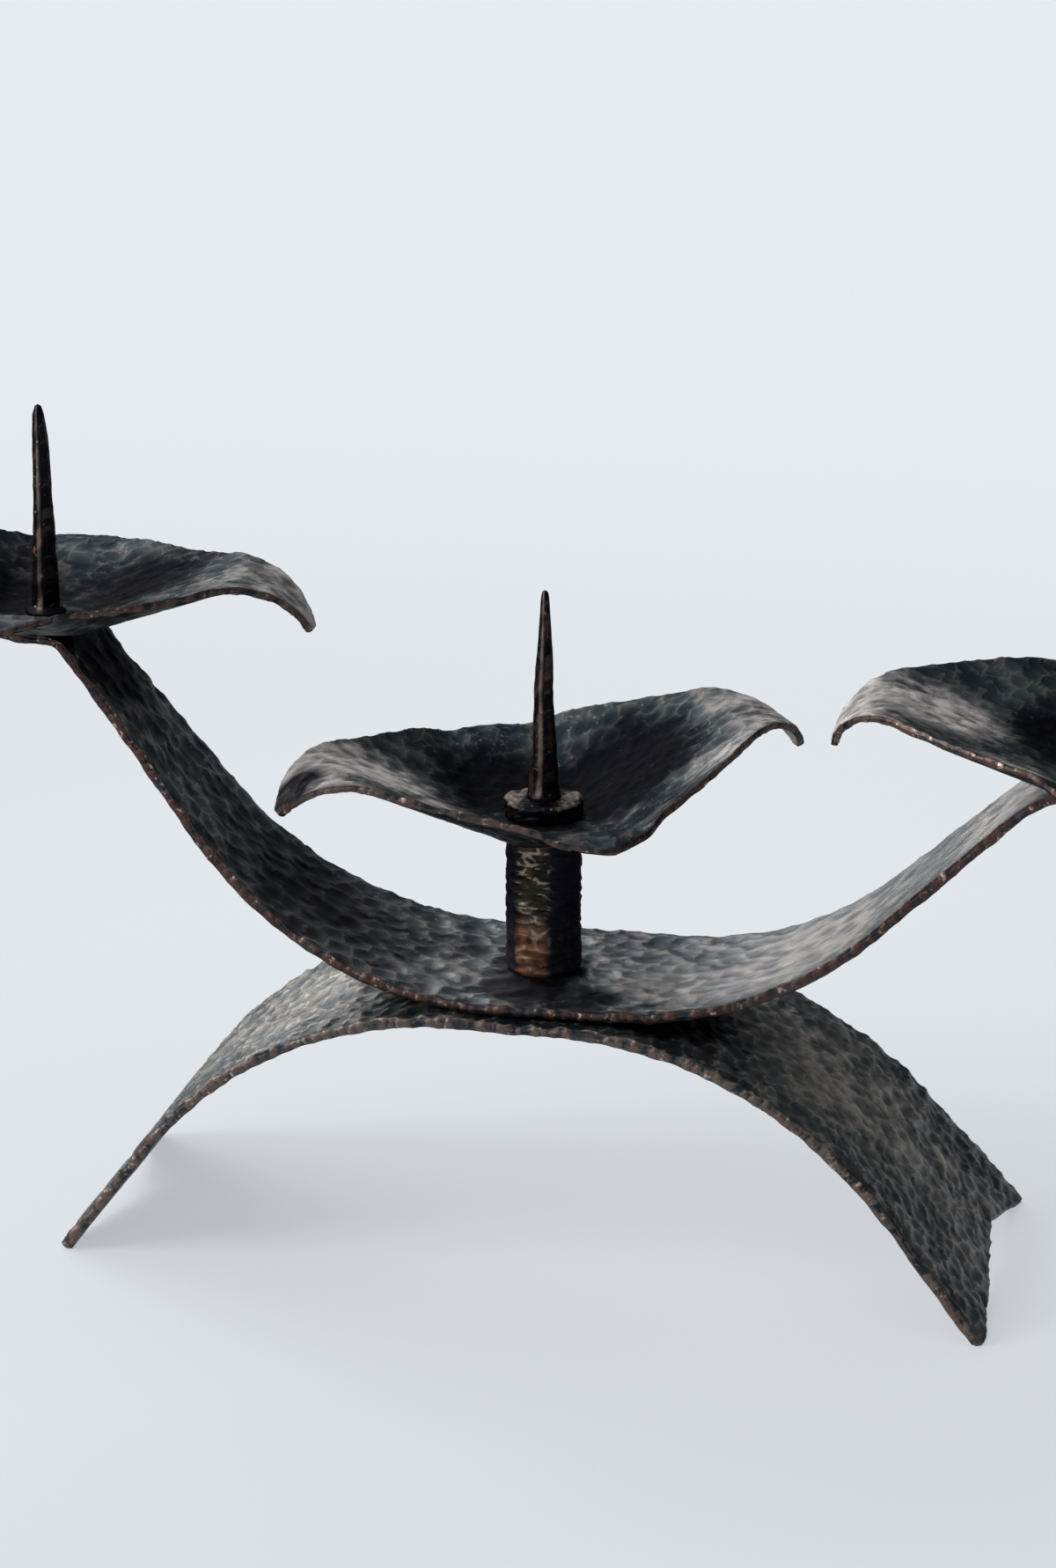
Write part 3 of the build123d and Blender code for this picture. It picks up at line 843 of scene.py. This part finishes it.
def forged_wear_group():
    """Wear and painted light on hammered iron: hollows and rim creases darker, partly as dark oxide
    and partly as painted shade; ridges and walls worn bare, with painted sheen and highlights;
    sooting and painted shade; brown edges and flecks.
    """
    group = bpy.data.node_groups.new("forged wear", "ShaderNodeTree")
    colours = ("Hollow", "Face", "Ridge", "Rubbed and highlight", "Brown", "Copper", "Soot and shade")
    amounts = ("Ridge wear", "Rubbing and highlight", "Browning", "Edge browning", "Flecks", "Smoothing",
               "Metal")
    for name in colours:
        group.interface.new_socket(name, in_out="INPUT", socket_type="NodeSocketColor")
    for name in amounts:
        group.interface.new_socket(name, in_out="INPUT", socket_type="NodeSocketFloat")
    group.interface.new_socket("Color", in_out="OUTPUT", socket_type="NodeSocketColor")
    for name in ("Roughness", "Metallic", "Height"):
        group.interface.new_socket(name, in_out="OUTPUT", socket_type="NodeSocketFloat")
    given = group.nodes.new("NodeGroupInput").outputs
    place = add(group, "ShaderNodeTexCoord").outputs["Object"]
    sheet = look(group, "sheet", "Vector")
    ridge, hollow = look(group, "ridge"), look(group, "hollow")
    edge, rub_and_highlight, soot_and_shade = look(group, "edge"), look(group, "rub_and_highlight"), look(group, "soot_and_shade")
    drawn = add(group, "ShaderNodeMapping",
                {"Vector": sheet, "Scale": (streak_stretch, 1.0, 1.0)},
                vector_type="POINT").outputs[0]

    clouds = noise(group, place, cloud_scale, 5)
    blotches = noise(group, place, blotch_scale, 5)
    streaks = noise(group, drawn, streak_scale, 5, 0.65)
    grain = noise(group, place, grain_scale, 4, 0.7)
    specks = noise(group, place, speck_scale, 2, 0.5)

    colour = mix(group, ramp(group, clouds, *cloud_limits), given["Hollow"], given["Face"])
    brown = times(group, ramp(group, blotches, *brown_limits), given["Browning"])
    colour = mix(group, brown, colour, given["Brown"])
    mottle = times(group, plus(group, streaks, blotches), 0.5)
    # Worn bare metal, and painted sheen and highlights, where the piece's look asks for them
    bare_and_sheen = ramp(group, plus(group, mottle, times(group, rub_and_highlight, rub_and_highlight_gain)), *rubbed_and_highlight_limits)
    rubbing_and_highlight = times(group, ramp(group, rub_and_highlight, *rub_and_highlight_limits), given["Rubbing and highlight"])
    rubbing_and_highlight = times(group, bare_and_sheen, rubbing_and_highlight)
    colour = mix(group, rubbing_and_highlight, colour, given["Rubbed and highlight"])
    # Darker in the dents: partly dark oxide, partly painted shade
    sunk = plus(group, hollow, times(group, streaks, streak_gain))
    sunk = minus(group, sunk, times(group, rub_and_highlight, rub_and_highlight_shallowing))
    colour = mix(group, ramp(group, sunk, *sunk_limits), colour, given["Hollow"])
    broken = plus(group, streaks, times(group, clouds, cloud_gain))
    broken = plus(group, times(group, ridge, ridge_gain), broken)
    worn = times(group, ramp(group, broken, *worn_ridge_limits), given["Ridge wear"])
    colour = mix(group, worn, colour, given["Ridge"])
    # Painted shade and sooting, where the piece's look asks for it, and a little more in the dents
    soot_and_shade_cover = plus(group, soot_and_shade, times(group, hollow, hollow_soot_and_shade_gain))
    soot_and_shade_cover = times(group, ramp(group, soot_and_shade_cover, *soot_and_shade_limits), ramp(group, soot_and_shade, *soot_and_shade_near_limits))
    soot_and_shade_cover = times(group, soot_and_shade_cover, ramp(group, streaks, *thin_soot_and_shade_limits))
    colour = mix(group, soot_and_shade_cover, colour, given["Soot and shade"])
    lit_edge = mix(group, ramp(group, specks, *copper_edge_limits), given["Brown"],
                   given["Copper"])
    # Darker in the creases between the rim's pads: partly dark oxide, partly painted shade
    lit_edge = mix(group, ramp(group, hollow, *edge_crease_limits), lit_edge, given["Hollow"])
    edging = times(group, edge, ramp(group, blotches, *edge_brown_limits))
    colour = mix(group, times(group, edging, given["Edge browning"]), colour, lit_edge)
    fleck = times(group, ramp(group, specks, *fleck_limits), given["Flecks"])
    fleck = times(group, fleck, ramp(group, soot_and_shade_cover, *soot_and_shade_fleck_limits))
    colour = mix(group, fleck, colour, given["Copper"])

    dull = plus(group, times(group, soot_and_shade_cover, soot_and_shade_dulling), times(group, rubbing_and_highlight, rub_and_highlight_dulling))
    rough = plus(group, ramp(group, streaks, *roughness_limits), dull)
    rough = minus(group, rough, given["Smoothing"])
    metal = times(group, given["Metal"], ramp(group, rubbing_and_highlight, *dull_metal_limits))
    height = plus(group, times(group, grain, grain_height), times(group, blotches, blotch_height))
    out = group.nodes.new("NodeGroupOutput").inputs
    group.links.new(colour, out["Color"])
    group.links.new(rough, out["Roughness"])
    group.links.new(metal, out["Metallic"])
    group.links.new(height, out["Height"])
    return group


def iron(name, wear, edge_shine, colours, amounts, bump_depth):
    """A forged iron finish with its own colours and its own amounts of wear and of painted light."""
    material = bpy.data.materials.new(name)
    material.use_nodes = True
    tree = material.node_tree
    shader = tree.nodes["Principled BSDF"]
    worn = add(tree, "ShaderNodeGroup", node_tree=wear)
    for socket, colour in colours.items():
        worn.inputs[socket].default_value = (*colour, 1)
    for socket, amount in amounts.items():
        worn.inputs[socket].default_value = amount
    bump = add(tree, "ShaderNodeBump", {"Height": worn.outputs["Height"],
                                        "Strength": bump_strength, "Distance": bump_depth})
    tree.links.new(worn.outputs["Color"], shader.inputs["Base Color"])
    tree.links.new(worn.outputs["Roughness"], shader.inputs["Roughness"])
    tree.links.new(worn.outputs["Metallic"], shader.inputs["Metallic"])
    tree.links.new(bump.outputs[0], shader.inputs["Normal"])
    shader.inputs["Specular IOR Level"].default_value = iron_specular
    shader.inputs["Specular Tint"].default_value = (edge_shine, edge_shine, edge_shine, 1)
    return material


wear = forged_wear_group()
# The black of sooting and of painted shade
soot_and_shade_black = (0.004, 0.004, 0.0075)
strap_iron = iron("strap iron", wear, 0.9, {
    "Hollow": (0.018, 0.027, 0.036), "Face": (0.088, 0.1, 0.105), "Ridge": (0.36, 0.305, 0.27),
    "Rubbed and highlight": (0.53, 0.485, 0.45), "Brown": (0.085, 0.048, 0.04), "Copper": (0.5, 0.37, 0.32),
    "Soot and shade": soot_and_shade_black},
    {"Ridge wear": 0.4, "Rubbing and highlight": 0.85, "Browning": 0.3, "Edge browning": 1.0, "Flecks": 0.2,
     "Metal": 0.85}, 0.25 * mm)
foot_iron = iron("foot iron", wear, 0.9, {
    "Hollow": (0.02, 0.03, 0.037), "Face": (0.105, 0.111, 0.109), "Ridge": (0.38, 0.325, 0.28),
    "Rubbed and highlight": (0.52, 0.47, 0.41), "Brown": (0.14, 0.104, 0.088), "Copper": (0.5, 0.4, 0.345),
    "Soot and shade": soot_and_shade_black},
    {"Ridge wear": 0.55, "Rubbing and highlight": 0.85, "Browning": 0.35, "Edge browning": 1.0, "Flecks": 0.2,
     "Metal": 0.85}, 0.25 * mm)
pan_iron = iron("pan iron", wear, 0.35, {
    "Hollow": (0.018, 0.026, 0.032), "Face": (0.07, 0.081, 0.082), "Ridge": (0.26, 0.23, 0.205),
    "Rubbed and highlight": (0.54, 0.495, 0.475), "Brown": (0.11, 0.073, 0.062), "Copper": (0.5, 0.36, 0.31),
    "Soot and shade": soot_and_shade_black},
    {"Ridge wear": 0.22, "Rubbing and highlight": 0.95, "Browning": 0.25, "Edge browning": 1.0, "Flecks": 0.2,
     "Metal": 0.85}, 0.25 * mm)
# On the post, the darkest colour is painted shade on its far side, and the bare colour is its
# copper-red foot
post_iron = iron("post iron", wear, 0.35, {
    "Hollow": (0.014, 0.013, 0.011), "Face": (0.045, 0.043, 0.034), "Ridge": (0.4, 0.35, 0.27),
    "Rubbed and highlight": (0.36, 0.14, 0.07), "Brown": (0.2, 0.1, 0.06), "Copper": (0.5, 0.26, 0.15),
    "Soot and shade": (0.014, 0.014, 0.024)},
    {"Ridge wear": 0.55, "Rubbing and highlight": 0.7, "Browning": 0.2, "Edge browning": 0.5, "Flecks": 0.3,
     "Smoothing": 0.1, "Metal": 0.9}, 0.2 * mm)
# On the spikes and the collar, the bare colour is a painted highlight
spike_iron = iron("spike iron", wear, 0.35, {
    "Hollow": (0.006, 0.006, 0.009), "Face": (0.014, 0.013, 0.017), "Ridge": (0.12, 0.1, 0.08),
    "Rubbed and highlight": (0.45, 0.37, 0.3), "Brown": (0.12, 0.055, 0.035), "Copper": (0.5, 0.26, 0.14),
    "Soot and shade": soot_and_shade_black},
    {"Ridge wear": 0.3, "Rubbing and highlight": 0.38, "Browning": 0.4, "Edge browning": 0.5, "Flecks": 0.6,
     "Metal": 0.85}, 0.25 * mm)


# The stand, piece by piece

make_foot(foot_iron)
make_arm(strap_iron)
make_post(post_iron)
make_collar(spike_iron)
make_pan("hammered_centre_pan", "centre_pan", centre_shape, 0, centre_floor,
         (31, 32, 33), centre_rubs_and_sheen, centre_soot_and_shade, pan_iron)
make_pan("hammered_left_pan", "left_pan", left_shape, -spike_reach[-1], left_floor,
         (34, 35, 36), left_rubs_and_sheen, left_soot_and_shade, pan_iron)
make_pan("hammered_right_pan", "right_pan", right_shape, spike_reach[1], right_floor,
         (37, 38, 39), right_rubs_and_sheen, right_soot_and_shade, pan_iron)
make_spike("drawn_centre_spike", "centre_spike", 0, collar_top,
           collar_height + pan_thickness + centre_tenon, centre_spike_stages, False, 61, spike_iron)
make_spike("drawn_left_spike", "left_spike", -spike_reach[-1], left_floor,
           pan_thickness + arm_thickness, outer_spike_stages, True, 62, spike_iron)
make_spike("drawn_right_spike", "right_spike", spike_reach[1], right_floor,
           pan_thickness + arm_thickness, outer_spike_stages, True, 63, spike_iron)


# The studio

floor_colour = (0.74, 0.765, 0.79)
front_colour = (0.675, 0.70, 0.73)
back_colour = (0.80, 0.835, 0.875)
floor_half_size = 6
floor_roughness = 0.9
floor_specular = 0.1
own_glow_share = 0.65
# Distances in metres over which the floor turns to its own glow, and pales to the back
glow_limits = (0.2, 0.6)
paling_limits = (-0.5, 1.2)


def make_floor():
    """A plain pale floor that keeps the stand's shadow and pales into the background."""
    bm = bmesh.new()
    bmesh.ops.create_grid(bm, x_segments=1, y_segments=1, size=floor_half_size)
    mesh = bpy.data.meshes.new("floor")
    bm.to_mesh(mesh)
    bm.free()
    floor = bpy.data.objects.new("floor", mesh)
    bpy.context.scene.collection.objects.link(floor)
    material = bpy.data.materials.new("pale floor")
    material.use_nodes = True
    tree = material.node_tree
    shader = tree.nodes["Principled BSDF"]
    shader.inputs["Base Color"].default_value = (*floor_colour, 1)
    shader.inputs["Roughness"].default_value = floor_roughness
    shader.inputs["Specular IOR Level"].default_value = floor_specular
    place = add(tree, "ShaderNodeTexCoord").outputs["Object"]
    reach = add(tree, "ShaderNodeVectorMath", {0: place}, operation="LENGTH").outputs["Value"]
    light_path = add(tree, "ShaderNodeLightPath").outputs
    seen = add(tree, "ShaderNodeMath", {0: light_path["Is Camera Ray"],
                                        1: light_path["Is Glossy Ray"]}, operation="MAXIMUM")
    far = times(tree, ramp(tree, reach, *glow_limits, own_glow_share, 1.0), seen.outputs[0])
    depth = add(tree, "ShaderNodeSeparateXYZ", {0: place}).outputs["Y"]
    paling = mix(tree, ramp(tree, depth, *paling_limits), (*front_colour, 1), (*back_colour, 1))
    glow = add(tree, "ShaderNodeEmission", {"Color": paling, "Strength": 1.0})
    blend = add(tree, "ShaderNodeMixShader", {0: far, 1: shader.outputs[0], 2: glow.outputs[0]})
    tree.links.new(blend.outputs[0], tree.nodes["Material Output"].inputs["Surface"])
    mesh.materials.append(material)


def make_lamp(name, place, aim, wide, high, power):
    """An oblong soft light at a place, turned to what it lights."""
    lamp = bpy.data.lights.new(name, "AREA")
    lamp.shape = "RECTANGLE"
    lamp.size = wide
    lamp.size_y = high
    lamp.energy = power
    holder = bpy.data.objects.new(name, lamp)
    bpy.context.scene.collection.objects.link(holder)
    holder.location = place
    holder.rotation_euler = (Vector(aim) - Vector(place)).to_track_quat("-Z", "Y").to_euler()


bright_way = (-0.58, -0.1, 0.81)
front_wall = (0.072, 0.077, 0.09)
back_wall = (0.2, 0.21, 0.22)
window_glow = (0.95, 0.98, 1.0)
back_wall_limits = (-0.2, 0.9)
window_limits = (0.0, 1.0)


def make_world():
    """A pale studio, brightest up and to the left, and dim to the right and in front."""
    world = bpy.data.worlds.new("studio")
    world.use_nodes = True
    tree = world.node_tree
    way = add(tree, "ShaderNodeTexCoord").outputs["Generated"]
    toward = add(tree, "ShaderNodeVectorMath", {0: way, 1: bright_way},
                 operation="DOT_PRODUCT").outputs["Value"]
    behind = add(tree, "ShaderNodeVectorMath", {0: way, 1: (0, 1, 0)},
                 operation="DOT_PRODUCT").outputs["Value"]
    walls = mix(tree, ramp(tree, behind, *back_wall_limits), (*front_wall, 1), (*back_wall, 1))
    walls = mix(tree, ramp(tree, toward, *window_limits), walls, (*window_glow, 1))
    tree.links.new(walls, tree.nodes["Background"].inputs["Color"])
    tree.nodes["Background"].inputs["Strength"].default_value = 1.0
    bpy.context.scene.world = world


camera_azimuth = radians(12.4)
camera_elevation = radians(17.5)
camera_distance = 1049.5 * mm
camera_target = (-4.3 * mm, 0, 127.7 * mm)
camera_lens = 90.96
camera_clip_start = 0.05


def make_camera():
    """The photograph's view: a long lens, a little to the right and above."""
    azimuth, elevation = camera_azimuth, camera_elevation
    back = Vector((sin(azimuth) * cos(elevation), -cos(azimuth) * cos(elevation), sin(elevation)))
    right = Vector((cos(azimuth), sin(azimuth), 0))
    up = back.cross(right)
    camera = bpy.data.cameras.new("camera")
    camera.lens = camera_lens
    camera.clip_start = camera_clip_start
    holder = bpy.data.objects.new("camera", camera)
    bpy.context.scene.collection.objects.link(holder)
    turn = Matrix((right, up, back)).transposed()
    place = Vector(camera_target) + back * camera_distance
    holder.matrix_world = Matrix.Translation(place) @ turn.to_4x4()
    bpy.context.scene.camera = holder


lamp_aim = (0, 0, 0.1)

make_floor()
make_lamp("back window", (-2.0, 2.4, 1.9), lamp_aim, wide=2.6, high=1.8, power=68)
make_lamp("front window", (-2.8, -1.4, 1.9), lamp_aim, wide=1.6, high=1.8, power=80)
make_world()
make_camera()
bpy.context.scene.view_settings.view_transform = "Standard"
